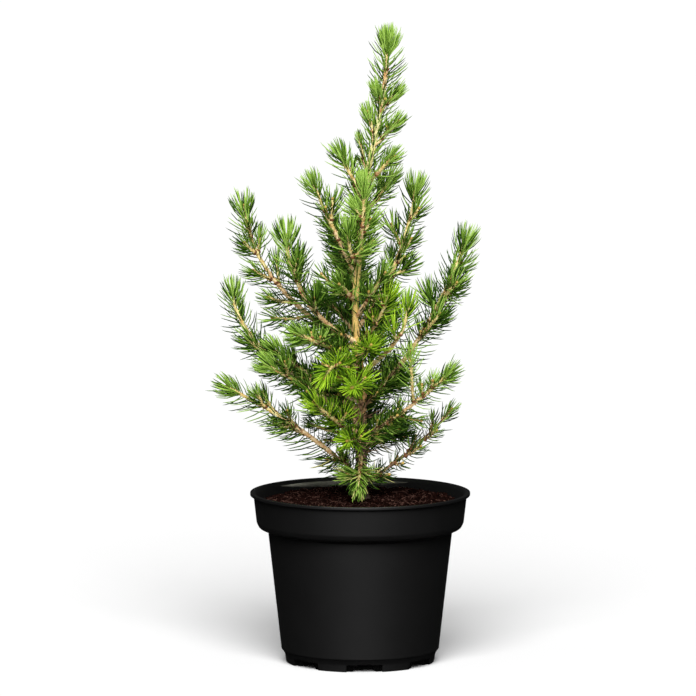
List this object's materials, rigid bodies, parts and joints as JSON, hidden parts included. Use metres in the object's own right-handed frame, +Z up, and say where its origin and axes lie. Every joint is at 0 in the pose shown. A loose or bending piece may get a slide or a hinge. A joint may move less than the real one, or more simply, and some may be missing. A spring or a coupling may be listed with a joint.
{
  "type": "potted dwarf alberta spruce",
  "caption": "Young cone-shaped dwarf spruce: slim leaning trunk, upswept boughs, brush-like needled shoots, and a round tapered nursery pot filled with soil.",
  "frame": {"origin": "the pot's axis where its flat underside rests on the floor", "axes": "+Z up, along the pot's axis; -Y is the side that faces the viewer in the picture, +X is to the viewer's right"},
  "size_m": [0.152, 0.1209, 0.351],
  "materials": {
    "pot_plastic": "matt black moulded plastic",
    "potting_soil": "moist crumbly peat",
    "bark": "tan young bark",
    "needle_green": "fresh to mid green needles"
  },
  "bodies": {
    "root": {"bough_big_right": "bark", "bough_forked_right": "bark", "bough_front_left": "bark", "bough_inner_right": "bark", "bough_low_left": "bark", "bough_low_right": "bark", "bough_outer_left": "bark", "bough_pale_right": "bark", "bough_shelf_left": "bark", "bough_tall_left": "bark", "bough_tall_rear": "bark", "needles_big_right": "needle_green", "needles_crown_rear": "needle_green", "needles_crown_rear_right": "needle_green", "needles_crown_right": "needle_green", "needles_droop": "needle_green", "needles_foot_front": "needle_green", "needles_forked_right": "needle_green", "needles_front_left": "needle_green", "needles_front_up": "needle_green", "needles_inner_right": "needle_green", "needles_knob_left": "needle_green", "needles_knob_low_left": "needle_green", "needles_leader": "needle_green", "needles_low_front_left": "needle_green", "needles_low_left": "needle_green", "needles_low_right": "needle_green", "needles_outer_left": "needle_green", "needles_pale_right": "needle_green", "needles_rear_foot": "needle_green", "needles_rear_high": "needle_green", "needles_rear_high_left": "needle_green", "needles_rear_left": "needle_green", "needles_rear_low_left": "needle_green", "needles_rear_low_right": "needle_green", "needles_rear_mid": "needle_green", "needles_rear_mid_left": "needle_green", "needles_rear_mid_right": "needle_green", "needles_rear_right": "needle_green", "needles_rear_upper": "needle_green", "needles_shelf_left": "needle_green", "needles_short_low_right": "needle_green", "needles_short_right": "needle_green", "needles_small_front": "needle_green", "needles_star_front": "needle_green", "needles_star_left": "needle_green", "needles_star_low": "needle_green", "needles_tall_left": "needle_green", "needles_tall_rear": "needle_green", "needles_tip_left": "needle_green", "needles_tip_right": "needle_green", "needles_top_left": "needle_green", "needles_top_right": "needle_green", "needles_upper_left": "needle_green", "needles_upper_left_small": "needle_green", "needles_upper_shelf": "needle_green", "pot": "pot_plastic", "soil": "potting_soil", "trunk": "bark"}
  },
  "joints": []
}
